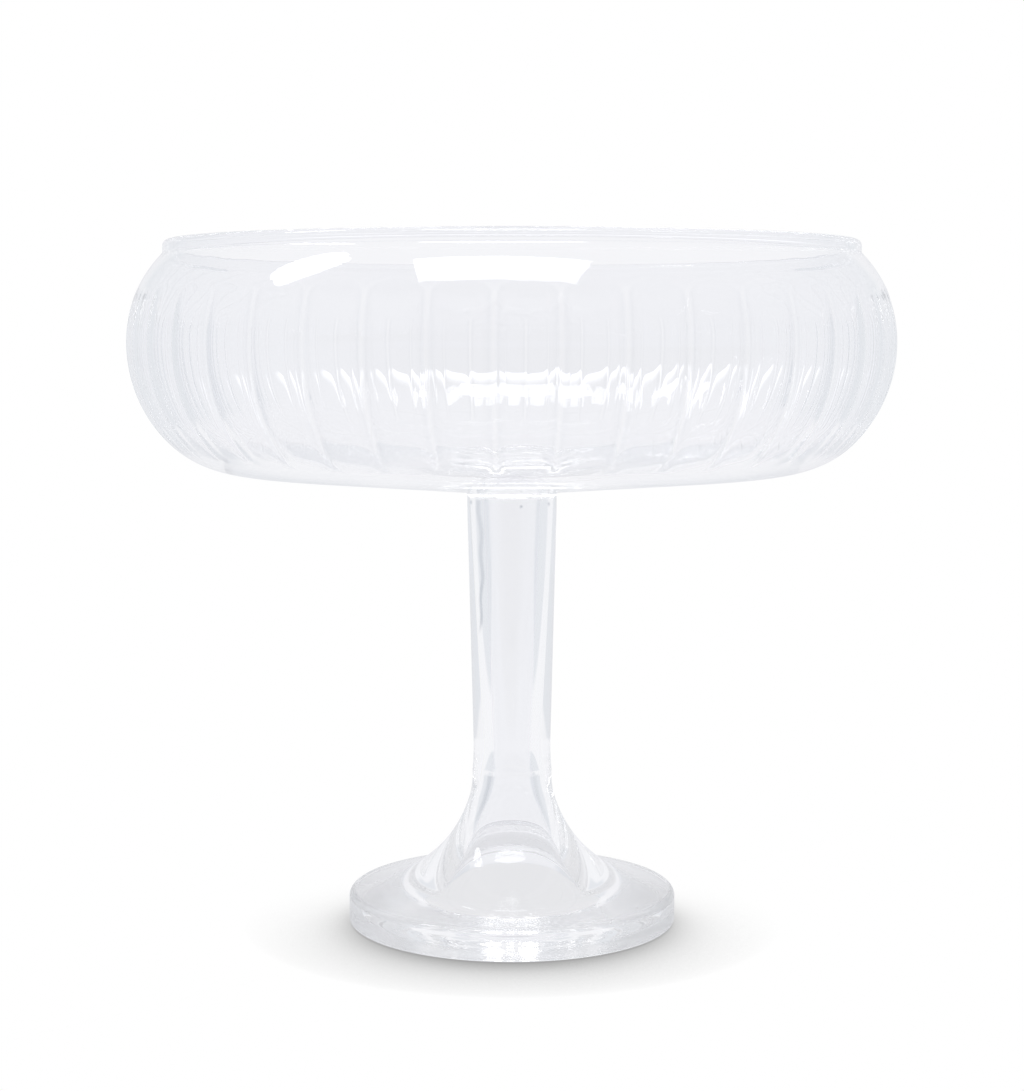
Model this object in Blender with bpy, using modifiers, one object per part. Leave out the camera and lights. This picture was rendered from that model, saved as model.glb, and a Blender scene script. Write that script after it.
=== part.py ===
"""Footed salad bowl of clear glass, in metres, +Z up, standing on the XY plane with its axis on Z.

A fluted bowl is bonded to a hollow tapered stem, and the stem to a flared foot that is hollow from below.
"""

from math import acos, asin, atan2, cos, degrees, hypot, pi, radians, sin, sqrt

import bpy

# Bowl: outline
BOWL_DIAMETER = 0.260  # across the belly, its widest place
BOWL_HEIGHT = 0.0865  # from the face of the boss to the top of the lip
BELLY_HEIGHT = 0.052  # from the face of the boss to the belly
LIP_SETBACK = 0.0125  # from the belly in to the outside of the upright lip
LIP_HEIGHT = 0.0044
LIP_THICKNESS = 0.0042
SHOULDER_REACH = 0.045  # width of the curve from the belly up to the lip, if it went on to level
HEEL_REACH = 0.038  # width of the curve from the belly down to the underside
HEEL_DROP = 0.0432
BOSS_FILLET = 0.0014  # between the boss and the cone of the underside

# Bowl: wall
WALL = 0.0032
HEEL_WALL = 0.0036
FLOOR_CENTRE = 0.0078  # glass in the middle, from the face of the boss to the floor inside

# Bowl: flutes, as angles round the section of the wall, from the belly
FLUTES = 42
FLUTE_DEPTH = 0.0008
FLUTE_TOP = 27.0
FLUTE_BOTTOM = -62.5
FLUTE_TOP_ROUND = 7.0  # how far the rounded end of a flute reaches
FLUTE_BOTTOM_ROUND = 11.0

# Stem
STEM_LENGTH = 0.094
STEM_TOP_DIAMETER = 0.0307
NECK_DIAMETER = 0.0262  # lower end of the stem, and top of the foot
BORE_TOP_DIAMETER = 0.0200
BORE_NECK_DIAMETER = 0.0122  # lower end of the bore, and top of the foot's hollow
SEAT_ROUND = 0.0003  # rounded edge of each face that is bonded

# Foot
FOOT_DIAMETER = 0.1134
FOOT_HEIGHT = 0.052
EDGE_HEIGHT = 0.011  # top of the thick edge
EDGE_ROUND = 0.0024
SOLE_ROUND = 0.0012
FLARE_RADIUS = 0.045  # an arc through the neck that turns level at the top of the edge
HOLLOW_DIAMETER = 0.0572  # mouth of the hollow, inside the rest ring
HOLLOW_RADIUS = 0.183  # an arc from the mouth up to the bore, bellied towards the axis

# Bonds
BOND_THICKNESS = 0.0004
BOND_INSET = 0.0002  # how far the film stays back from the edges of its seat
CLEARANCE = 0.0003  # between a film and each face that it holds

# Facets
STEPS_PER_FLUTE = 3
STEM_STEPS = 48
FOOT_STEPS = 72
MERGE_DISTANCE = 0.00001

# The shoulder meets the lip at this angle from level, and would rise this far if it went on to level
LIP_ANGLE = degrees(acos(1 - LIP_SETBACK / SHOULDER_REACH))
SHOULDER_RISE = (BOWL_HEIGHT - LIP_HEIGHT - BELLY_HEIGHT) / sin(radians(LIP_ANGLE))

# Where each piece starts
SEAM = BOND_THICKNESS + 2 * CLEARANCE
STEM_BASE = FOOT_HEIGHT + SEAM
BOWL_BASE = STEM_BASE + STEM_LENGTH + SEAM


def on_curve(centre, reach, angle):
    """The point at an angle, in degrees, on an ellipse about a centre."""
    return centre[0] + reach[0] * cos(radians(angle)), centre[1] + reach[1] * sin(radians(angle))


def curve(centre, reach, start, end, count):
    """Evenly turned points of an ellipse, from one angle to another."""
    step = (end - start) / (count - 1)
    return [on_curve(centre, reach, start + step * index) for index in range(count)]


def chord_arc(start, end, radius, count):
    """Points of an arc that rises from one point to another nearer the axis, and is bellied towards the axis."""
    across, up = end[0] - start[0], end[1] - start[1]
    chord = hypot(across, up)
    rise = sqrt(radius**2 - chord**2 / 4) / chord
    centre = ((start[0] + end[0]) / 2 + rise * up, (start[1] + end[1]) / 2 - rise * across)
    first, last = (degrees(atan2(centre[1] - y, centre[0] - x)) + 180.0 for x, y in (start, end))
    return curve(centre, (radius, radius), first, last, count)


def tangent_angle(centre, reach, point):
    """Angle, in degrees below level, where a line from a point nearer the axis touches the heel's ellipse."""
    across = (point[0] - centre[0]) / reach[0]
    down = (centre[1] - point[1]) / reach[1]
    return degrees(atan2(down, across) - acos(1 / hypot(across, down)))


def glass(name, colour):
    """Clear glass or clear bonding resin."""
    material = bpy.data.materials.new(name)
    material.use_nodes = True
    shader = material.node_tree.nodes["Principled BSDF"]
    shader.inputs["Base Color"].default_value = (*colour, 1.0)
    shader.inputs["Roughness"].default_value = 0.03
    shader.inputs["Metallic"].default_value = 0.0
    shader.inputs["IOR"].default_value = 1.5
    shader.inputs["Transmission Weight"].default_value = 1.0
    return material


def turned(name, profile, steps, closed, material, base):
    """A solid turned about Z from a profile that runs down its outer side, standing at a height."""
    edges = [(index, index + 1) for index in range(len(profile) - 1)]
    if closed:
        edges.append((len(profile) - 1, 0))
    mesh = bpy.data.meshes.new(name)
    mesh.from_pydata([(radius, 0.0, height) for radius, height in profile], edges, [])
    mesh.materials.append(material)
    piece = bpy.data.objects.new(name, mesh)
    piece.location.z = base
    screw = piece.modifiers.new("turn", "SCREW")
    screw.axis = "Z"
    screw.angle = 2 * pi
    screw.steps = steps
    screw.render_steps = steps
    screw.use_merge_vertices = True
    screw.merge_threshold = MERGE_DISTANCE
    screw.use_smooth_shade = True
    return piece


def bowl_profile():
    """From the middle of the floor inside, up the wall, over the lip and down the outside to the boss."""
    belly = BOWL_DIAMETER / 2
    lip = belly - LIP_SETBACK
    lip_round = LIP_THICKNESS / 2
    shoulder = (belly - SHOULDER_REACH, BELLY_HEIGHT)
    heel = (belly - HEEL_REACH, BELLY_HEIGHT)
    shoulder_out = (SHOULDER_REACH, SHOULDER_RISE)
    shoulder_in = (SHOULDER_REACH - WALL, SHOULDER_RISE - WALL)
    heel_out = (HEEL_REACH, HEEL_DROP)
    heel_in = (HEEL_REACH - WALL, HEEL_DROP - HEEL_WALL)

    floor_middle = (0.0, FLOOR_CENTRE)
    floor_edge = tangent_angle(heel, heel_in, floor_middle)
    lip_inside = degrees(acos((lip - LIP_THICKNESS - shoulder[0]) / shoulder_in[0]))
    boss = STEM_TOP_DIAMETER / 2
    boss_root = (boss, SEAT_ROUND + BOSS_FILLET)
    underside_edge = tangent_angle(heel, heel_out, boss_root)
    underside_end = on_curve(heel, heel_out, -underside_edge)
    slope = atan2(underside_end[1] - boss_root[1], underside_end[0] - boss_root[0])
    fillet_drop = BOSS_FILLET * (1 - sin(slope)) / cos(slope)
    fillet = (boss + BOSS_FILLET, boss_root[1] - fillet_drop)

    points = [floor_middle]
    points += curve(heel, heel_in, -floor_edge, 0.0, 7)
    points += curve(shoulder, shoulder_in, 0.0, lip_inside, 4)[1:]
    points += curve((lip - lip_round, BOWL_HEIGHT - lip_round), (lip_round, lip_round), 180.0, 0.0, 5)
    points += curve(shoulder, shoulder_out, LIP_ANGLE, FLUTE_TOP, 3)[:-1]
    points += curve(shoulder, shoulder_out, FLUTE_TOP, FLUTE_TOP - FLUTE_TOP_ROUND, 3)
    points += curve(shoulder, shoulder_out, FLUTE_TOP - FLUTE_TOP_ROUND, 0.0, 3)[1:]
    points += curve(heel, heel_out, 0.0, FLUTE_BOTTOM + FLUTE_BOTTOM_ROUND, 5)[1:]
    points += curve(heel, heel_out, FLUTE_BOTTOM + FLUTE_BOTTOM_ROUND, FLUTE_BOTTOM, 4)[1:]
    points += curve(heel, heel_out, FLUTE_BOTTOM, -underside_edge, 3)[1:]
    points += curve(fillet, (BOSS_FILLET, BOSS_FILLET), 90.0 + degrees(slope), 180.0, 3)
    points += [(boss, SEAT_ROUND), (boss - SEAT_ROUND, 0.0), (0.0, 0.0)]
    return points


def flute_depth(turn, rise):
    """Depth of the pressing at an angle round the bowl, in flutes, and at an angle round the section of its wall."""
    across = 2 * (turn % 1.0) - 1
    along = 0.0
    if rise > FLUTE_TOP - FLUTE_TOP_ROUND:
        along = (rise - FLUTE_TOP) / FLUTE_TOP_ROUND + 1
    if rise < FLUTE_BOTTOM + FLUTE_BOTTOM_ROUND:
        along = (FLUTE_BOTTOM - rise) / FLUTE_BOTTOM_ROUND + 1
    return FLUTE_DEPTH * max(0.0, 1 - across**2 - along**2)


def press_flutes(piece):
    """Presses round-ended flutes, which meet in thin ridges, into the outside of the turned bowl."""
    view = bpy.context.evaluated_depsgraph_get()
    mesh = bpy.data.meshes.new_from_object(piece.evaluated_get(view))
    piece.modifiers.clear()
    piece.data = mesh
    belly = BOWL_DIAMETER / 2
    for vertex in mesh.vertices:
        radius = hypot(vertex.co.x, vertex.co.y)
        height = vertex.co.z - BELLY_HEIGHT
        reach, rise = (SHOULDER_REACH, SHOULDER_RISE) if height > 0 else (HEEL_REACH, HEEL_DROP)
        across = (radius - belly + reach) / reach
        up = height / rise
        if abs(hypot(across, up) - 1) > MERGE_DISTANCE / WALL:
            continue
        turn = atan2(vertex.co.y, vertex.co.x) / (2 * pi) * FLUTES
        depth = flute_depth(turn, degrees(atan2(up, across)))
        square = hypot(across / reach, up / rise)
        inward = depth * across / reach / square / radius
        vertex.co.x -= vertex.co.x * inward
        vertex.co.y -= vertex.co.y * inward
        vertex.co.z -= depth * up / rise / square
    mesh.shade_smooth()


def stem_profile():
    top = STEM_TOP_DIAMETER / 2
    neck = NECK_DIAMETER / 2
    return [
        (BORE_TOP_DIAMETER / 2, STEM_LENGTH),
        (top - SEAT_ROUND, STEM_LENGTH),
        (top, STEM_LENGTH - SEAT_ROUND),
        (neck, SEAT_ROUND),
        (neck - SEAT_ROUND, 0.0),
        (BORE_NECK_DIAMETER / 2, 0.0),
    ]


def foot_profile():
    """Down the flare, round the thick edge, across the rest ring and up inside the hollow to the neck."""
    foot = FOOT_DIAMETER / 2
    neck = NECK_DIAMETER / 2
    edge = foot - EDGE_ROUND
    neck_height = FOOT_HEIGHT - SEAT_ROUND
    centre_height = EDGE_HEIGHT + FLARE_RADIUS
    centre = (neck + sqrt(FLARE_RADIUS**2 - (centre_height - neck_height) ** 2), centre_height)
    flare_start = 180.0 + degrees(asin((centre_height - neck_height) / FLARE_RADIUS))
    flare_end = 180.0 + degrees(acos(max(0.0, centre[0] - edge) / FLARE_RADIUS))

    flare = curve(centre, (FLARE_RADIUS, FLARE_RADIUS), flare_start, flare_end, 10)
    edge_centre = (edge, flare[-1][1] - EDGE_ROUND)
    points = [(neck - SEAT_ROUND, FOOT_HEIGHT)]
    points += flare
    points += curve(edge_centre, (EDGE_ROUND, EDGE_ROUND), 90.0, 0.0, 4)[1:]
    points += curve((foot - SOLE_ROUND, SOLE_ROUND), (SOLE_ROUND, SOLE_ROUND), 0.0, -90.0, 3)
    points += chord_arc((HOLLOW_DIAMETER / 2, 0.0), (BORE_NECK_DIAMETER / 2, FOOT_HEIGHT), HOLLOW_RADIUS, 8)
    return points


def bond_profile(seat, bore):
    """A flat ring of film between two seats of one diameter, round the bore that both of them hold."""
    outside = seat / 2 - SEAT_ROUND - BOND_INSET
    inside = bore / 2 + BOND_INSET
    return [(inside, BOND_THICKNESS), (outside, BOND_THICKNESS), (outside, 0.0), (inside, 0.0)]


for old in list(bpy.data.objects):
    bpy.data.objects.remove(old)

clear_glass = glass("clear_glass", (0.97, 0.98, 0.985))
clear_resin = glass("clear_resin", (0.98, 0.98, 0.98))

bowl = turned("bowl", bowl_profile(), FLUTES * STEPS_PER_FLUTE, False, clear_glass, BOWL_BASE)
stem = turned("stem", stem_profile(), STEM_STEPS, True, clear_glass, STEM_BASE)
foot = turned("foot", foot_profile(), FOOT_STEPS, True, clear_glass, 0.0)
upper_bond = turned(
    "upper_bond",
    bond_profile(STEM_TOP_DIAMETER, BORE_TOP_DIAMETER),
    STEM_STEPS,
    True,
    clear_resin,
    BOWL_BASE - CLEARANCE - BOND_THICKNESS,
)
lower_bond = turned(
    "lower_bond",
    bond_profile(NECK_DIAMETER, BORE_NECK_DIAMETER),
    STEM_STEPS,
    True,
    clear_resin,
    FOOT_HEIGHT + CLEARANCE,
)

assembly = bpy.data.collections.new("footed_salad_bowl")
bpy.context.scene.collection.children.link(assembly)
axis = bpy.data.objects.new("axis", None)
assembly.objects.link(axis)
for piece in (bowl, upper_bond, stem, lower_bond, foot):
    assembly.objects.link(piece)
    piece.parent = axis

# A ridge, not the middle of a flute, faces the front
bowl.rotation_euler.z = pi / FLUTES
press_flutes(bowl)
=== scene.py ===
from math import acos, asin, atan2, cos, degrees, hypot, pi, radians, sin, sqrt, tan

import bpy
import numpy as np
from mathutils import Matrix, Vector


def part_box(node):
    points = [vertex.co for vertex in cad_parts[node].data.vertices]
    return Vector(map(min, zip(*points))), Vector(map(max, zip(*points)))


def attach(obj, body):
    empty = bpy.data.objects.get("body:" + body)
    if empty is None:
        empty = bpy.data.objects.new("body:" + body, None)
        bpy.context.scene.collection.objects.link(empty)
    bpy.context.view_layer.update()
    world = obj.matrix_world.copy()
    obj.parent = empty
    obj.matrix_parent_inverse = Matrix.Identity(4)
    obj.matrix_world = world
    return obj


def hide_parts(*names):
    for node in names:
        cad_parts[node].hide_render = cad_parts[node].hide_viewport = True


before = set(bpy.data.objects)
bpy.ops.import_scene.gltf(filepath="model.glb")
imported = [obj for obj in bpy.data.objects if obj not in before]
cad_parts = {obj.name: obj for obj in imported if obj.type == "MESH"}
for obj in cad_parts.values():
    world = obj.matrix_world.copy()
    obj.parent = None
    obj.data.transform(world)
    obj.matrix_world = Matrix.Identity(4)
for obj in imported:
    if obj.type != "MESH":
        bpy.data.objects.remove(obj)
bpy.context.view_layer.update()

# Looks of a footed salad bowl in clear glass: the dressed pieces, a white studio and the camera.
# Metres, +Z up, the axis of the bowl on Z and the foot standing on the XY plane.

# Bowl, with heights above its base
BOWL_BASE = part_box("bowl")[0].z
BOWL_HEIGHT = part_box("bowl")[1].z - BOWL_BASE
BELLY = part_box("bowl")[1].y
BELLY_HEIGHT = 0.052
LIP_SETBACK = 0.0125
LIP_HEIGHT = 0.0044
LIP_THICKNESS = 0.0042
LIP_FILLET = 0.0009
SHOULDER_REACH = 0.045
LIP_ANGLE = acos(1 - LIP_SETBACK / SHOULDER_REACH)
SHOULDER_RISE = (BOWL_HEIGHT - LIP_HEIGHT - BELLY_HEIGHT) / sin(LIP_ANGLE)
HEEL_REACH = 0.038
HEEL_DROP = 0.0432
BOSS_FILLET = 0.0014
WALL = 0.0032
HEEL_WALL = 0.0036
FLOOR_CENTRE = 0.0078
FLOOR_DISH = 0.010

# Flutes, as angles round the section of the wall, from the belly
FLUTES = 42
FLUTE_DEPTH = 0.0008
FLUTE_TOP = 27.0
FLUTE_BOTTOM = -62.5
FLUTE_TOP_ROUND = 7.0
FLUTE_BOTTOM_ROUND = 11.0
FLUTE_TOP_FADE = 20.0
FLUTE_BOTTOM_FADE = 26.0
FLUTE_POWER = 4.0
FLUTE_SIDES = (0.4, 0.65, 0.78, 0.85, 0.90, 0.94, 0.97)  # columns of a flute from its spine to its edge
FLUTE_COLUMNS = (-1, *(-side for side in reversed(FLUTE_SIDES)), 0, *FLUTE_SIDES)

# Ridges between the flutes, in half widths of a flute: a rounded top, with a painted highlight along its core
# and painted shade along its borders
RIDGE_ROUND = 0.10
RIDGE_CORE = 0.06
RIDGE_CORE_EDGE = 1.4  # over 1, so that the core is even
RIDGE_BORDER = 0.10
RIDGE_LIGHT = 0.9
RIDGE_SHADE = 0.1
RIDGE_TOP_LOSS = 0.7  # how much of the light and shade goes at the ends of a ridge
RIDGE_BOTTOM_LOSS = 0.2

# Stem
STEM_TOP_RADIUS = 0.01535
NECK_RADIUS = 0.0131
BORE_TOP_RADIUS = 0.0100
BORE_NECK_RADIUS = 0.0061
BORE_DOME = 0.0025
SEAT_ROUND = 0.00003
SEAT_POINTS = 7
STEM_COLLAR = 0.004
NECK_FINE = 0.012  # height above the neck with finer rings
NECK_BLEND = 0.010
NECK_KINK = 0.264  # change of slope from stem to foot, outside and in the bore
BORE_KINK = 0.42

# Marks that a mesh stores and its glass shows: painted highlights and painted shade on the ridges, painted
# dark lines in the stem and below the neck, and specks
MARK_LIGHT = (1.0, 1.0, 1.0)
MARK_DARK = (0.42, 0.45, 0.50)
MARK_EDGE = 1.5  # over 1, so that the core of a mark is even

# Painted dark line in the glass of the stem, on its left, standing in for a dark image that the stem refracts
DARK_LINE_TURN = 224.0
DARK_LINE_LENGTH = 0.046
DARK_LINE_FADE = 0.004
DARK_LINE_WIDTH = 0.0011
DARK_LINE_NARROWING = 0.45
DARK_LINE_PALEST = 0.5
DARK_LINE_SWAY = 0.0012
DARK_LINE_SWAY_TURN = 3.5
DARK_LINE_WAVER = 0.0004
DARK_LINE_WAVER_RATE = 420

# Specks at the top of the stem, as (degrees round, height below the top, size)
SPECKS = ((207.0, 0.0012, 0.0007), (327.0, 0.0016, 0.0006), (284.0, 0.0020, 0.0005))

# Foot
FOOT_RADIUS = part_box("foot")[1].x
FOOT_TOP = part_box("foot")[1].z
EDGE_HEIGHT = 0.011
EDGE_ROUND = 0.0024
SOLE_ROUND = 0.0012
RING_ROUND = 0.0100
FLARE_RADIUS = 0.045
HOLLOW_MOUTH = 0.0286
HOLLOW_RADIUS = 0.183

# Painted dark reflections along the sides of the hollow below the neck, as (degrees round at the neck,
# degrees round at the far end, depth)
NECK_DARK_REFLECTIONS = ((239.0, 222.0, 0.6), (306.0, 320.0, 0.3))
NECK_REFLECTION_LENGTH = 0.020
NECK_REFLECTION_WIDTH = 0.0009

# Films that bond the pieces
FILM_HOLLOW = 0.00001

# Steps round the stem, the foot and the films, and the least angle of a sharp edge
ROUND_STEPS = 288
SHARP_ANGLE = 40

# Glass and resin: each with its two cloudy tints
GLASS_TINT = (0.962, 0.964, 0.974)
GLASS_SHADE = (0.952, 0.955, 0.967)
RESIN_TINT = (0.99, 0.99, 0.99)
RESIN_SHADE = (0.97, 0.97, 0.975)
REFRACTION = 1.5
CLOUD_SCALE = 35.0
CLEANEST = 0.25  # share of the roughness where the glass is cleanest

# Room between the rest ring and the floor, so that light gets under the glass
FLOOR_GAP = 0.0003

# Studio: white all round, but for a greyer room in front, pale flanks and the table beyond the white sheet
ROOM_TURN = 25
ROOM_SPAN = 54
ROOM_EDGE = 6
ROOM_TOP = 35
ROOM_TOP_EDGE = 4
ROOM_COLOUR = (0.72, 0.73, 0.765)
AROUND_COLOUR = (0.965, 0.967, 0.982)
MIRROR_COLOUR = (0.82, 0.825, 0.855)
FLANK_SPAN = 66
FLANK_COLOUR = (0.82, 0.84, 0.87)
TABLE_COLOUR = (0.60, 0.60, 0.60)
SHEET_FRONT = 0.36
SHEET_SIDE = 0.32
SHEET_EDGE = 0.06
FLOOR_REACH = 12.0
FLOOR_COLOUR = (0.94, 0.94, 0.945)

# Sheen of light on the floor far behind, which the flutes of the far wall break up into a comb of glints
SHEEN_NEAR = 3.8
SHEEN_FULL = 6.4  # past its end, so that the sheen is cut off while it still grows
SHEEN_END = 5.5
SHEEN_EDGE = 0.3
SHEEN_SIDE = 0.75
SHEEN_LIGHT = 0.7

# Shade of the foot on the floor, deeper in front
SHADOW_SAMPLES = 8
SHADOW_TILT = 60
SHADOW_REACH = 0.037
SHADOW_POWER = 1.5
SHADOW_DARKEST = 0.28
UNDER_SHADE = 0.14
UNDER_NEAR = 0.12
UNDER_FAR = 0.32

BOUNCES = 320  # light runs a long way inside the thin wall

# Camera, fitted to the ellipses of the rim and the foot
FRAME_HEIGHT = 1091
FOCAL_PIXELS = 2200
SENSOR_WIDTH = 36.0
CAMERA_DISTANCE = 0.7544
CAMERA_HEIGHT = 0.2053
CAMERA_TILT = 5.65
CAMERA_TURN = 2.3  # round the axis, so that the ridges fall where the photograph has them


def ellipse(centre, reach, start, end, count):
    """Evenly turned points of an ellipse, from one angle to another, in degrees."""
    turns = np.radians(np.linspace(start, end, count))
    return [(centre[0] + reach[0] * cos(t), centre[1] + reach[1] * sin(t)) for t in turns]


def arc(centre, radius, start, end, count):
    """Evenly turned points of a circle, from one angle to another, in degrees."""
    return ellipse(centre, (radius, radius), start, end, count)


def chord_arc(start, end, radius, count):
    """Points of an arc from one point up to another nearer the axis, bellied towards the axis."""
    across, up = end[0] - start[0], end[1] - start[1]
    chord = hypot(across, up)
    rise = sqrt(radius**2 - chord**2 / 4) / chord
    centre = ((start[0] + end[0]) / 2 + rise * up, (start[1] + end[1]) / 2 - rise * across)
    first, last = (degrees(atan2(centre[1] - y, centre[0] - x)) + 180 for x, y in (start, end))
    return arc(centre, radius, first, last, count)


def line(start, end, count):
    """Evenly spaced points of a straight stretch."""
    return [tuple(point) for point in np.linspace(start, end, count)]


def tangent_angle(centre, reach, point):
    """Angle below level where a line from a point nearer the axis touches the heel's ellipse."""
    across = (point[0] - centre[0]) / reach[0]
    down = (centre[1] - point[1]) / reach[1]
    return degrees(atan2(down, across) - acos(1 / hypot(across, down)))


def lip_corner(centre, reach, radius):
    """Where a fillet between an ellipse and the upright side of the lip touches the ellipse, and its arc."""
    low, high = 0.0, pi / 2
    halvings = 60
    for _ in range(halvings):
        turn = (low + high) / 2
        normal = atan2(sin(turn) / reach[1], cos(turn) / reach[0])
        if centre[0] + reach[0] * cos(turn) + LIP_FILLET * (cos(normal) - 1) > radius:
            low = turn
        else:
            high = turn
    height = centre[1] + reach[1] * sin(turn) + LIP_FILLET * sin(normal)
    return degrees(turn), arc((radius + LIP_FILLET, height), LIP_FILLET, 180 + degrees(normal), 180, 7)


def link(name, points, faces):
    """Puts a smooth mesh with sharp corners into the scene."""
    mesh = bpy.data.meshes.new(name)
    mesh.from_pydata(points, [], faces)
    mesh.shade_smooth()
    mesh.set_sharp_from_angle(angle=radians(SHARP_ANGLE))
    piece = bpy.data.objects.new(name, mesh)
    bpy.context.scene.collection.objects.link(piece)
    return piece


def lathe(name, section, turns, press=None):
    """A closed mesh turned about Z from the (radius, height) points of a section, solid on its path's left.

    press takes the index of a point and gives the moves of its ring inwards and downwards.
    """
    steps = len(turns)
    on_axis = 1e-9
    points, rings = [], []
    for index, (radius, height) in enumerate(section):
        if radius < on_axis:
            rings.append([len(points)] * steps)
            points.append((0.0, 0.0, height))
            continue
        inwards, downwards = press(index) if press else (0.0, 0.0)
        radii = np.full(steps, radius) - inwards
        heights = np.full(steps, height) - downwards
        rings.append(list(range(len(points), len(points) + steps)))
        points.extend(zip(radii * np.cos(turns), radii * np.sin(turns), heights))
    faces = []
    for low, high in zip(rings, rings[1:] + rings[:1]):
        for step in range(steps):
            after = (step + 1) % steps
            corners = list(dict.fromkeys((low[step], low[after], high[after], high[step])))
            if len(corners) > 2:
                faces.append(corners)
    return link(name, points, faces), rings


def mark(piece, name, values):
    """Stores a share from 0 to 1 on the vertices of a piece, for its material to read."""
    stored = piece.data.attributes.new(name, "FLOAT", "POINT")
    stored.data.foreach_set("value", np.asarray(values, dtype=np.float32))


def mark_share(way):
    """How strong a mark is, at a way from its middle where its half width is 1."""
    return np.clip(MARK_EDGE - way, 0, 1)


def round_turns():
    """Even angles round a plain turned piece."""
    return np.arange(ROUND_STEPS) * 2 * pi / ROUND_STEPS


def flat_ring(piece, material, inside, outside, height):
    """Gives a level ring of a piece a material of its own."""
    piece.data.materials.append(material)
    slot = len(piece.data.materials) - 1
    near, level = 1e-6, 0.99
    for face in piece.data.polygons:
        centre = face.center
        on_ring = inside < hypot(centre.x, centre.y) < outside
        if on_ring and abs(centre.z - height) < near and abs(face.normal.z) > level:
            face.material_index = slot


def flute_way(rise, columns):
    """Way from the spine of the nearest flute, where 1 is its edge, at an angle round the wall's section."""
    along = 0.0
    if rise > FLUTE_TOP - FLUTE_TOP_ROUND:
        along = (rise - FLUTE_TOP) / FLUTE_TOP_ROUND + 1
    if rise < FLUTE_BOTTOM + FLUTE_BOTTOM_ROUND:
        along = (FLUTE_BOTTOM - rise) / FLUTE_BOTTOM_ROUND + 1
    return np.hypot(columns, along)


def flute_depths(rise, columns):
    """Depths of the pressing round the bowl, with ridges that are rounded and ends that fade out."""

    def shape(way):
        low = 1 - RIDGE_ROUND
        level = 1 - low**FLUTE_POWER
        reach = 2 * level / (FLUTE_POWER * low ** (FLUTE_POWER - 1))
        edge = level * np.clip((low + reach - way) / reach, 0, 1) ** 2
        return np.where(way < low, 1 - way**FLUTE_POWER, edge)

    across = np.abs(columns)
    ends = np.clip([(FLUTE_TOP - rise) / FLUTE_TOP_FADE, (rise - FLUTE_BOTTOM) / FLUTE_BOTTOM_FADE], 0, 1)
    fade = np.prod(ends**2 * (3 - 2 * ends))
    return FLUTE_DEPTH * fade * (shape(flute_way(rise, across)) + shape(flute_way(rise, 2 - across)))


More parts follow.
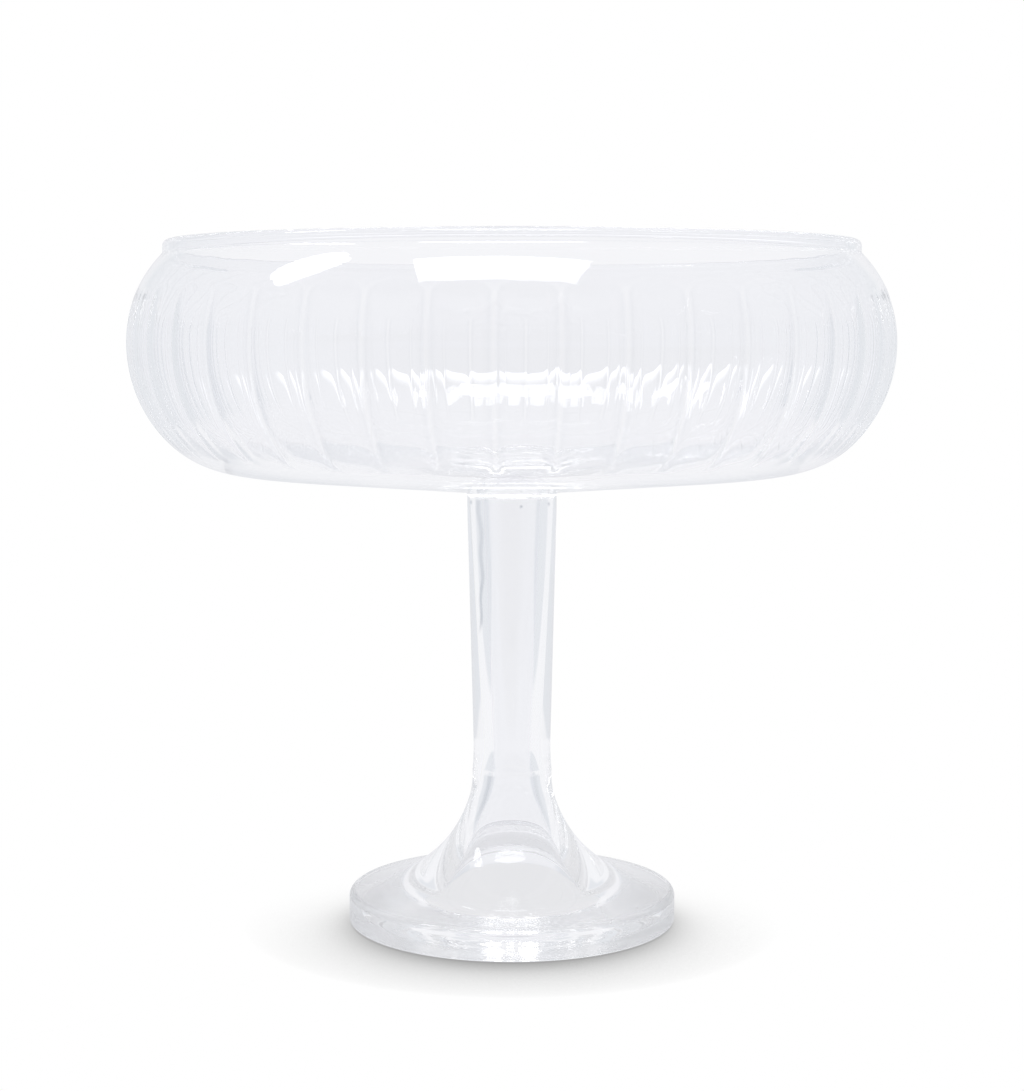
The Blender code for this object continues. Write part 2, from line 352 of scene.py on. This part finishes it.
def make_bowl(base):
    """The bowl: its section from the boss up the outside, over the lip and down to the floor inside."""
    belly_height = BOWL_BASE + BELLY_HEIGHT
    shoulder = (BELLY - SHOULDER_REACH, belly_height)
    heel = (BELLY - HEEL_REACH, belly_height)
    shoulder_out = (SHOULDER_REACH, SHOULDER_RISE)
    shoulder_in = (SHOULDER_REACH - WALL, SHOULDER_RISE - WALL)
    heel_out = (HEEL_REACH, HEEL_DROP)
    heel_in = (HEEL_REACH - WALL, HEEL_DROP - HEEL_WALL)
    lip = BELLY - LIP_SETBACK
    lip_round = LIP_THICKNESS / 2
    boss = STEM_TOP_RADIUS
    boss_root = (boss, BOWL_BASE + SEAT_ROUND + BOSS_FILLET)
    underside_edge = tangent_angle(heel, heel_out, boss_root)
    underside_end = ellipse(heel, heel_out, -underside_edge, 0, 2)[0]
    slope = atan2(underside_end[1] - boss_root[1], underside_end[0] - boss_root[0])
    fillet = (boss + BOSS_FILLET, boss_root[1] - BOSS_FILLET * (1 - sin(slope)) / cos(slope))
    shoulder_end, corner_out = lip_corner(shoulder, shoulder_out, lip)
    shoulder_start, corner_in = lip_corner(shoulder, shoulder_in, lip - LIP_THICKNESS)
    floor_middle = (0.0, BOWL_BASE + FLOOR_CENTRE)
    floor_edge = tangent_angle(heel, heel_in, floor_middle)

    dome = (BORE_TOP_RADIUS**2 + BORE_DOME**2) / (2 * BORE_DOME)
    dome_edge = degrees(asin(BORE_TOP_RADIUS / dome))
    section = arc((0.0, base + BORE_DOME - dome), dome, 90, 90 - dome_edge, 16)
    section[0] = (0.0, section[0][1])
    section += arc((boss - SEAT_ROUND, base + SEAT_ROUND), SEAT_ROUND, -90, 0, SEAT_POINTS)
    section += arc(fillet, BOSS_FILLET, 180, 90 + degrees(slope), 7)
    wall_first = len(section)
    rises = list(np.linspace(-underside_edge, 0, 90, endpoint=False))
    section += [ellipse(heel, heel_out, rise, rise, 1)[0] for rise in rises]
    fine_start, fine_end = FLUTE_TOP - FLUTE_TOP_ROUND - 1, FLUTE_TOP + 1
    upper = list(np.linspace(0, fine_start, 22, endpoint=False))
    upper += list(np.linspace(fine_start, fine_end, 16, endpoint=False))
    upper += list(np.linspace(fine_end, shoulder_end, 14, endpoint=False))
    section += [ellipse(shoulder, shoulder_out, rise, rise, 1)[0] for rise in upper]
    rises += upper
    section += corner_out
    section += arc((lip - lip_round, BOWL_BASE + BOWL_HEIGHT - lip_round), lip_round, 0, 180, 17)
    section += corner_in[::-1]
    section += ellipse(shoulder, shoulder_in, shoulder_start, 0, 24)[1:]
    section += ellipse(heel, heel_in, 0, -floor_edge, 44)[1:]
    floor_reach, floor_height = section[-1]
    rate = (floor_height - floor_middle[1]) / (hypot(floor_reach, FLOOR_DISH) - FLOOR_DISH)
    for radius in np.linspace(floor_reach, 0, 24)[1:]:
        section.append((radius, floor_middle[1] + rate * (hypot(radius, FLOOR_DISH) - FLOOR_DISH)))

    columns = np.tile(FLUTE_COLUMNS, FLUTES)
    flutes = np.repeat(np.arange(FLUTES), len(FLUTE_COLUMNS))
    turns = (flutes + columns / 2 + 0.5) * 2 * pi / FLUTES - pi / 2

    def press(index):
        if not wall_first <= index < wall_first + len(rises):
            return 0.0, 0.0
        rise = rises[index - wall_first]
        reach = shoulder_out if rise > 0 else heel_out
        normal = atan2(sin(radians(rise)) / reach[1], cos(radians(rise)) / reach[0])
        depths = flute_depths(rise, columns)
        return depths * cos(normal), depths * sin(normal)

    piece, rings = lathe("bowl_glass", section, turns, press)

    # Painted highlight along the core of each ridge and painted shade along its borders
    light = np.zeros(len(piece.data.vertices))
    dark = np.zeros(len(piece.data.vertices))
    for rise, ring in zip(rises, rings[wall_first:]):
        off = np.abs(1 - flute_way(rise, np.abs(columns)))
        loss = RIDGE_TOP_LOSS if rise > 0 else RIDGE_BOTTOM_LOSS
        kept = 1 - loss * np.clip(flute_way(rise, 0.0) * 2, 0, 1)
        border = np.abs(off - RIDGE_CORE - RIDGE_BORDER) / RIDGE_BORDER
        light[ring] = np.clip(RIDGE_CORE_EDGE - off / RIDGE_CORE, 0, 1) * kept * RIDGE_LIGHT
        dark[ring] = np.clip(1 - border, 0, 1) * kept * RIDGE_SHADE
    mark(piece, "light", light)
    mark(piece, "dark", dark)
    return piece


def neck_swell(kink):
    """How far a section swells at the joint of the neck to smooth a change of slope there."""
    return kink * NECK_BLEND / 4


def blend_neck(section, level, kink):
    """Swells a section near the joint of the neck, so that its change of slope there is smooth."""
    swollen = []
    for radius, height in section:
        near = max(0.0, 1 - abs(height - level) / NECK_BLEND)
        swollen.append((radius + neck_swell(kink) * near**2, height))
    return swollen


def make_stem(base, top):
    """The stem, with a painted dark line on its left, where it refracts a dark image, and specks at its
    bonded top.
    """
    section = blend_neck([(BORE_NECK_RADIUS, base)], base, BORE_KINK)
    wall = arc((NECK_RADIUS - SEAT_ROUND, base + SEAT_ROUND), SEAT_ROUND, -90, 0, SEAT_POINTS)
    slope = (STEM_TOP_RADIUS - NECK_RADIUS) / (top - base)
    wall += line(wall[-1], (NECK_RADIUS + slope * NECK_FINE, base + NECK_FINE), 49)[1:]
    wall += line(wall[-1], (STEM_TOP_RADIUS, top - STEM_COLLAR), 81)[1:]
    section += blend_neck(wall, base, NECK_KINK)
    section += line(section[-1], (STEM_TOP_RADIUS, top - SEAT_ROUND), 14)[1:-1]
    outer = len(section)
    section += arc((STEM_TOP_RADIUS - SEAT_ROUND, top - SEAT_ROUND), SEAT_ROUND, 0, 90, SEAT_POINTS)
    bore = line((BORE_TOP_RADIUS, top), (BORE_NECK_RADIUS, base), 111)
    section += blend_neck(bore[:-1], base, BORE_KINK)
    turns = round_turns()
    piece, rings = lathe("stem_glass", section, turns)

    # Painted dark line on the left, where the stem refracts a dark image, and the specks at its top
    dark = np.zeros(len(piece.data.vertices))
    for (radius, height), ring in list(zip(section, rings))[SEAT_POINTS:outer]:
        below = top - height
        down = np.clip(below / DARK_LINE_LENGTH, 0, 1)
        sway = DARK_LINE_SWAY * sin(below / DARK_LINE_LENGTH * DARK_LINE_SWAY_TURN)
        sway -= DARK_LINE_WAVER * sin(below * DARK_LINE_WAVER_RATE)
        off = radius * (turns - radians(DARK_LINE_TURN)) - sway
        width = DARK_LINE_WIDTH * (1 - DARK_LINE_NARROWING * down)
        depth = np.clip((DARK_LINE_LENGTH - below) / DARK_LINE_FADE, 0, 1) * (DARK_LINE_PALEST + (1 - DARK_LINE_PALEST) * down**2)
        dark[ring] = mark_share(np.abs(off) / width) * depth
        for turn, drop, size in SPECKS:
            away = np.hypot(radius * (turns - radians(turn)), below - drop)
            dark[ring] = np.maximum(dark[ring], mark_share(away / size))
    mark(piece, "dark", dark)
    return piece


def make_foot(top):
    """The foot: across the rest ring, round the thick edge, up the flare and down inside the hollow."""
    edge = FOOT_RADIUS - EDGE_ROUND
    neck_height = FOOT_TOP - SEAT_ROUND
    centre_height = EDGE_HEIGHT + FLARE_RADIUS
    centre = (NECK_RADIUS + sqrt(FLARE_RADIUS**2 - (centre_height - neck_height) ** 2), centre_height)
    flare_start = 180 + degrees(asin((centre_height - neck_height) / FLARE_RADIUS))
    flare_end = 180 + degrees(acos(max(0.0, centre[0] - edge) / FLARE_RADIUS))
    flare = arc(centre, FLARE_RADIUS, flare_end, flare_start, 150)
    # Each round brings the hollow's arc and the rounding of its mouth closer to meeting without a corner
    mouth, lean, rounds = (HOLLOW_MOUTH, 0.0), 0.0, 4
    for _ in range(rounds):
        hollow = chord_arc(mouth, (BORE_NECK_RADIUS, top), HOLLOW_RADIUS, 90)
        lean = atan2(hollow[1][1] - hollow[0][1], hollow[0][0] - hollow[1][0])
        mouth = (HOLLOW_MOUTH - RING_ROUND * tan(lean / 2) * cos(lean), RING_ROUND * (1 - cos(lean)))

    section = arc((mouth[0] + RING_ROUND * sin(lean), RING_ROUND), RING_ROUND, 270 - degrees(lean), 270, 13)
    section += arc((FOOT_RADIUS - SOLE_ROUND, SOLE_ROUND), SOLE_ROUND, -90, 0, 9)
    section += arc((edge, flare[0][1] - EDGE_ROUND), EDGE_ROUND, 0, 90, 13)
    neck = flare[1:] + arc((NECK_RADIUS - SEAT_ROUND, top - SEAT_ROUND), SEAT_ROUND, 0, 90, SEAT_POINTS)
    flare_first = len(section)
    section += blend_neck(neck, top, NECK_KINK)
    section += blend_neck(hollow[:0:-1], top, BORE_KINK)
    turns = round_turns()
    piece, rings = lathe("foot_glass", section, turns)

    # Painted dark reflections along the sides of the hollow, below the neck
    dark = np.zeros(len(piece.data.vertices))
    for (radius, height), ring in list(zip(section, rings))[flare_first : flare_first + len(neck)]:
        along = (top - height) / NECK_REFLECTION_LENGTH
        for start, end, depth in NECK_DARK_REFLECTIONS:
            off = radius * (turns - radians(start + (end - start) * along))
            fade = np.clip((1 - along) * 2, 0, 1) * depth
            dark[ring] = np.maximum(dark[ring], mark_share(np.abs(off) / NECK_REFLECTION_WIDTH) * fade)
    mark(piece, "dark", dark)
    return piece


def make_film(name, low, high, inside, outside):
    """A ring of clear resin, drawn in a little at its two free edges."""
    middle = (low + high) / 2
    section = [(inside, low), (outside, low), (outside - FILM_HOLLOW, middle), (outside, high)]
    section += [(inside, high), (inside + FILM_HOLLOW, middle)]
    return lathe(name, section, round_turns())[0]


def node(tree, kind, links=None, **values):
    """Adds a shader node with its values and what goes into its inputs."""
    made = tree.nodes.new(kind)
    for key, value in values.items():
        setattr(made, key, value)
    for key, source in (links or {}).items():
        if isinstance(source, bpy.types.NodeSocket):
            tree.links.new(source, made.inputs[key])
        else:
            made.inputs[key].default_value = source
    return made


def maths(tree, operation, *terms):
    """Sum, product or the like of numbers, each given or made by a node."""
    return node(tree, "ShaderNodeMath", dict(enumerate(terms)), operation=operation).outputs[0]


def vector(tree, operation, *terms):
    """Outputs of a step of vector arithmetic."""
    return node(tree, "ShaderNodeVectorMath", dict(enumerate(terms)), operation=operation).outputs


def blend(tree, share, first, second):
    """A mix of two colours, each given or made by a node."""
    colours = [c if isinstance(c, bpy.types.NodeSocket) else (*c, 1.0) for c in (first, second)]
    return node(tree, "ShaderNodeMix", {0: share, 6: colours[0], 7: colours[1]}, data_type="RGBA").outputs[2]


def smooth_step(tree, value, start, end):
    """0 to 1 as a value goes from a start to an end, smoothly."""
    ends = {"Value": value, "From Min": start, "From Max": end}
    return node(tree, "ShaderNodeMapRange", ends, interpolation_type="SMOOTHSTEP").outputs["Result"]


def glass_material(name, tint, shade, roughness, wave_scale, wave_height):
    """Clear glass with cloudy tints, faint smears and waves, and the painted highlights, painted shade, dark
    lines and specks that a mesh stores.
    """
    material = bpy.data.materials.new(name)
    material.use_nodes = True
    tree = material.node_tree
    shader = tree.nodes["Principled BSDF"]
    place = node(tree, "ShaderNodeTexCoord").outputs["Object"]
    noise = {"Vector": place, "Scale": CLOUD_SCALE, "Detail": 2.0}
    cloud = node(tree, "ShaderNodeTexNoise", noise).outputs["Fac"]
    light = node(tree, "ShaderNodeAttribute", attribute_name="light").outputs["Fac"]
    dark = node(tree, "ShaderNodeAttribute", attribute_name="dark").outputs["Fac"]
    # The dark share paints shade beside the ridges, dark reflections and lines, and specks; the light share
    # paints highlights on the ridges
    colour = blend(tree, dark, blend(tree, cloud, tint, shade), MARK_DARK)
    tree.links.new(blend(tree, light, colour, MARK_LIGHT), shader.inputs["Base Color"])
    ends = {"Value": cloud, "To Min": roughness * CLEANEST, "To Max": roughness}
    smear = node(tree, "ShaderNodeMapRange", ends)
    tree.links.new(smear.outputs["Result"], shader.inputs["Roughness"])
    noise = {"Vector": place, "Scale": wave_scale, "Detail": 1.5}
    waves = node(tree, "ShaderNodeTexNoise", noise).outputs["Fac"]
    bump = node(tree, "ShaderNodeBump", {"Height": waves, "Distance": wave_height, "Strength": 1.0})
    tree.links.new(bump.outputs["Normal"], shader.inputs["Normal"])
    shader.inputs["IOR"].default_value = REFRACTION
    shader.inputs["Transmission Weight"].default_value = 1.0
    return material


def joint_material(name):
    """Lets light straight through a bonded face, so that the joint shows as one glass."""
    material = bpy.data.materials.new(name)
    material.use_nodes = True
    material.node_tree.nodes["Principled BSDF"].inputs["Alpha"].default_value = 0.0
    return material


def level_way(tree, way):
    """The level part of a direction, of length 1."""
    return vector(tree, "NORMALIZE", vector(tree, "MULTIPLY", way, (1.0, 1.0, 0.0))["Vector"])["Vector"]


def turn_share(tree, towards, span):
    """0 to 1 as the cosine of a turn comes within a span of degrees, with a soft edge."""
    return smooth_step(tree, towards, cos(radians(span + ROOM_EDGE)), cos(radians(span - ROOM_EDGE)))


def room_share(tree, way):
    """How far a direction points at the darker room in front of the object, on its right."""
    middle = (sin(radians(ROOM_TURN)), -cos(radians(ROOM_TURN)), 0.0)
    towards = vector(tree, "DOT_PRODUCT", level_way(tree, way), middle)["Value"]
    return turn_share(tree, towards, ROOM_SPAN)


def flank_share(tree, way):
    """How far a direction points to the left or to the right of the object."""
    axes = node(tree, "ShaderNodeSeparateXYZ", {"Vector": level_way(tree, way)}).outputs
    return turn_share(tree, maths(tree, "ABSOLUTE", axes["X"]), FLANK_SPAN)


def make_world():
    """A white surround for the camera. Glass sees it greyer, with a darker room in front and pale flanks."""
    world = bpy.data.worlds.new("studio")
    bpy.context.scene.world = world
    world.use_nodes = True
    tree = world.node_tree
    way = node(tree, "ShaderNodeTexCoord").outputs["Generated"]
    axes = node(tree, "ShaderNodeSeparateXYZ", {"Vector": way}).outputs
    path = node(tree, "ShaderNodeLightPath").outputs
    unseen = maths(tree, "SUBTRACT", 1.0, path["Is Camera Ray"])
    fade = (sin(radians(ROOM_TOP + ROOM_TOP_EDGE)), sin(radians(ROOM_TOP - ROOM_TOP_EDGE)))
    low = smooth_step(tree, axes["Z"], *fade)
    low = maths(tree, "MULTIPLY", low, unseen)
    flanks = maths(tree, "MULTIPLY", flank_share(tree, way), low)
    room = maths(tree, "MULTIPLY", room_share(tree, way), low)
    around = blend(tree, unseen, (1.0, 1.0, 1.0), AROUND_COLOUR)
    around = blend(tree, path["Is Reflection Ray"], around, MIRROR_COLOUR)
    colour = blend(tree, room, blend(tree, flanks, around, FLANK_COLOUR), ROOM_COLOUR)
    tree.links.new(colour, tree.nodes["Background"].inputs["Color"])


def make_floor():
    """A white floor that keeps the shade of the foot. Glass shows it too, and the table beyond the sheet."""
    corners = [(x * FLOOR_REACH, y * FLOOR_REACH, 0) for x, y in ((-1, -1), (1, -1), (1, 1), (-1, 1))]
    floor = link("floor", corners, [(0, 1, 2, 3)])
    floor.location.z = -FLOOR_GAP
    material = bpy.data.materials.new("white_floor")
    material.use_nodes = True
    tree = material.node_tree
    tree.nodes.remove(tree.nodes["Principled BSDF"])
    place = node(tree, "ShaderNodeTexCoord").outputs["Object"]
    axes = node(tree, "ShaderNodeSeparateXYZ", {"Vector": place}).outputs
    path = node(tree, "ShaderNodeLightPath").outputs
    through = maths(tree, "MAXIMUM", path["Is Transmission Ray"], path["Is Glossy Ray"])

    tilt = {"Y": sin(radians(SHADOW_TILT)), "Z": cos(radians(SHADOW_TILT))}
    tilt = node(tree, "ShaderNodeCombineXYZ", tilt).outputs["Vector"]
    around_foot = {"Distance": SHADOW_REACH, "Normal": tilt}
    open_share = node(tree, "ShaderNodeAmbientOcclusion", around_foot, samples=SHADOW_SAMPLES).outputs["AO"]
    open_share = maths(tree, "POWER", open_share, SHADOW_POWER)
    shade = maths(tree, "MULTIPLY_ADD", open_share, 1 - SHADOW_DARKEST, SHADOW_DARKEST)
    under = smooth_step(tree, vector(tree, "LENGTH", place)["Value"], UNDER_FAR, UNDER_NEAR)
    under = maths(tree, "MULTIPLY_ADD", under, -UNDER_SHADE, 1.0)
    shade = maths(tree, "MAXIMUM", shade, maths(tree, "MULTIPLY", through, under))

    sheen = maths(tree, "MULTIPLY", through, smooth_step(tree, axes["Y"], SHEEN_NEAR, SHEEN_FULL))
    sheen = maths(tree, "MULTIPLY", sheen, smooth_step(tree, axes["Y"], SHEEN_END + SHEEN_EDGE, SHEEN_END))
    aside = maths(tree, "ABSOLUTE", axes["X"])
    sheen = maths(tree, "MULTIPLY", sheen, smooth_step(tree, aside, SHEEN_SIDE + SHEEN_EDGE, SHEEN_SIDE))
    shade = maths(tree, "MULTIPLY_ADD", sheen, SHEEN_LIGHT, shade)

    ahead = smooth_step(tree, axes["Y"], -SHEET_FRONT, -SHEET_FRONT - SHEET_EDGE)
    aside = smooth_step(tree, aside, SHEET_SIDE, SHEET_SIDE + SHEET_EDGE)
    table = maths(tree, "MULTIPLY", maths(tree, "MULTIPLY", room_share(tree, place), ahead), through)
    flanks = maths(tree, "MULTIPLY", maths(tree, "MULTIPLY", flank_share(tree, place), aside), through)
    around = blend(tree, through, (1.0, 1.0, 1.0), AROUND_COLOUR)
    around = blend(tree, path["Is Reflection Ray"], around, MIRROR_COLOUR)
    colour = blend(tree, table, blend(tree, flanks, around, FLANK_COLOUR), TABLE_COLOUR)

    white = node(tree, "ShaderNodeEmission", {"Color": colour, "Strength": shade}).outputs[0]
    matt = node(tree, "ShaderNodeBsdfDiffuse", {"Color": (*FLOOR_COLOUR, 1.0)}).outputs[0]
    shown = maths(tree, "MAXIMUM", path["Is Camera Ray"], through)
    mix = node(tree, "ShaderNodeMixShader", {0: shown, 1: matt, 2: white}).outputs[0]
    tree.links.new(mix, tree.nodes["Material Output"].inputs["Surface"])
    floor.data.materials.append(material)


def make_lamp(name, shape, place, target, width, depth, power):
    """An area lamp of the given size in metres and power in watts, aimed at a target."""
    data = bpy.data.lights.new(name, "AREA")
    data.shape = shape
    data.size, data.size_y = width, depth
    data.energy = power
    lamp = bpy.data.objects.new(name, data)
    bpy.context.scene.collection.objects.link(lamp)
    lamp.location = place
    lamp.rotation_euler = (Vector(target) - Vector(place)).to_track_quat("-Z", "Y").to_euler()


def make_camera():
    """The camera, in front of the object and turned a little round its axis."""
    data = bpy.data.cameras.new("camera")
    data.sensor_width = SENSOR_WIDTH
    data.lens = FOCAL_PIXELS * data.sensor_width / FRAME_HEIGHT
    camera = bpy.data.objects.new("camera", data)
    bpy.context.scene.collection.objects.link(camera)
    turn = radians(CAMERA_TURN)
    camera.location = (CAMERA_DISTANCE * sin(turn), -CAMERA_DISTANCE * cos(turn), CAMERA_HEIGHT)
    camera.rotation_euler = (radians(90 - CAMERA_TILT), 0.0, turn)
    bpy.context.scene.camera = camera


upper_low, upper_high = (corner.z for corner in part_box("upper_bond"))
lower_low, lower_high = (corner.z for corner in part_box("lower_bond"))
upper_ring = (BORE_TOP_RADIUS, STEM_TOP_RADIUS - SEAT_ROUND)
lower_ring = (BORE_NECK_RADIUS + neck_swell(BORE_KINK), NECK_RADIUS - SEAT_ROUND + neck_swell(NECK_KINK))

bowl = make_bowl(upper_high)
stem = make_stem(lower_high, upper_low)
foot = make_foot(lower_low)
upper_bond = make_film("upper_bond_film", upper_low, upper_high, *upper_ring)
lower_bond = make_film("lower_bond_film", lower_low, lower_high, *lower_ring)

clear_glass = glass_material(
    "clear_glass", GLASS_TINT, GLASS_SHADE, roughness=0.02, wave_scale=25.0, wave_height=0.00002
)
ground_glass = glass_material(
    "ground_glass", GLASS_TINT, GLASS_SHADE, roughness=0.42, wave_scale=25.0, wave_height=0.00002
)
clear_resin = glass_material(
    "clear_resin", RESIN_TINT, RESIN_SHADE, roughness=0.05, wave_scale=300.0, wave_height=0.00003
)
joint = joint_material("bonded_face")

for piece, cad_node, material, slot in (
    (bowl, "bowl", clear_glass, "clear_glass"),
    (stem, "stem", clear_glass, "clear_glass"),
    (foot, "foot", clear_glass, "clear_glass"),
    (upper_bond, "upper_bond", clear_resin, "clear_resin"),
    (lower_bond, "lower_bond", clear_resin, "clear_resin"),
):
    piece.data.materials.append(material)
    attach(piece, "root")
    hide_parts(cad_node)

for piece, ring, height in (
    (bowl, upper_ring, upper_high), (stem, upper_ring, upper_low),
    (stem, lower_ring, lower_high), (foot, lower_ring, lower_low),
    (upper_bond, upper_ring, upper_low), (upper_bond, upper_ring, upper_high),
    (lower_bond, lower_ring, lower_low), (lower_bond, lower_ring, lower_high),
):
    flat_ring(piece, joint, *ring, height)
flat_ring(foot, ground_glass, HOLLOW_MOUTH, FOOT_RADIUS, 0.0)

make_world()
make_floor()
make_lamp(
    "softbox", "RECTANGLE",
    place=(-0.03, -0.541, 1.206), target=(0, 0, 0.23), width=0.76, depth=0.36, power=3.4,
)
make_lamp(
    "side_softbox", "ELLIPSE",
    place=(-0.61, -0.11, 0.89), target=(0, 0, 0.2), width=0.17, depth=0.36, power=0.8,
)
make_camera()

scene = bpy.context.scene
scene.view_settings.view_transform = "Standard"
for limit in ("max_bounces", "glossy_bounces", "transmission_bounces", "transparent_max_bounces"):
    setattr(scene.cycles, limit, BOUNCES)
